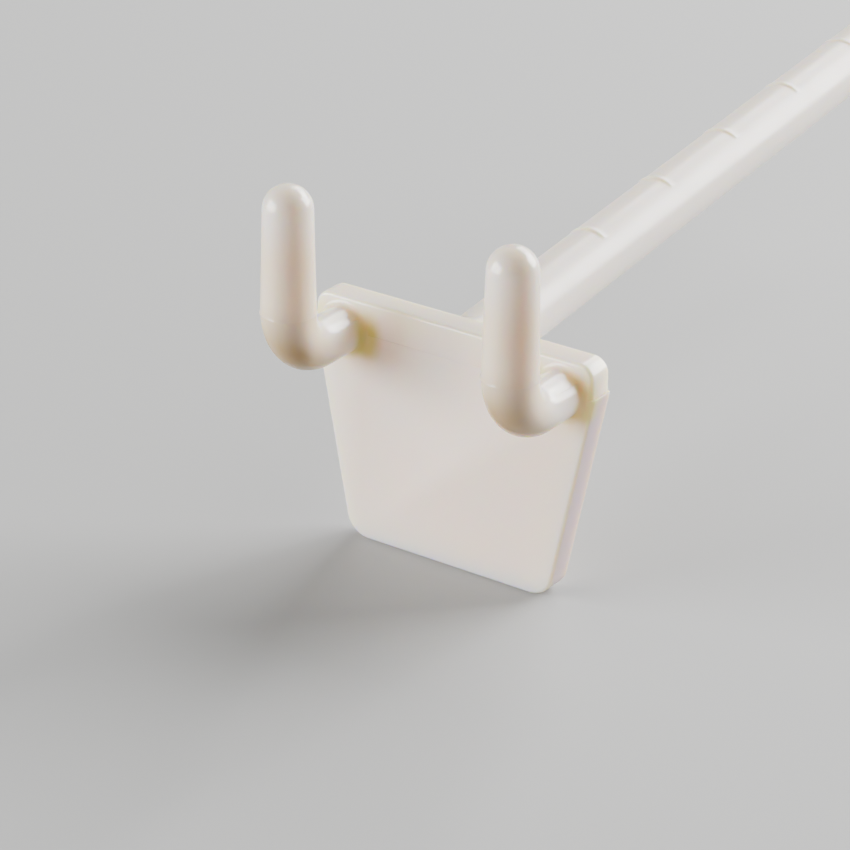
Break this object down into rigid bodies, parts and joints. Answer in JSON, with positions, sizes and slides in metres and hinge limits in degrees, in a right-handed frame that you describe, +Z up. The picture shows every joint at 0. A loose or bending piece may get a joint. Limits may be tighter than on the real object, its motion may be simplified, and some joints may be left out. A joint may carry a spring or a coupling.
{
  "type": "pegboard hook",
  "caption": "Moulded plastic pegboard hook: upturned pegs on a tapering back plate and a long round arm with shallow ridges and a raised end.",
  "frame": {"origin": "midway between the axes of the two peg necks, on the plane of the plate's rear face, which bears on the board", "axes": "+Z up along the pegs' uprights, +Y from the plate's rear face into the board, so the arm runs towards -Y, +X across the plate"},
  "size_m": [0.0326, 0.1391, 0.0428],
  "materials": {
    "ivory_plastic": "satin moulded surface, warm white, slightly translucent"
  },
  "bodies": {
    "root": {"pegboard_hook": "ivory_plastic"}
  },
  "joints": []
}
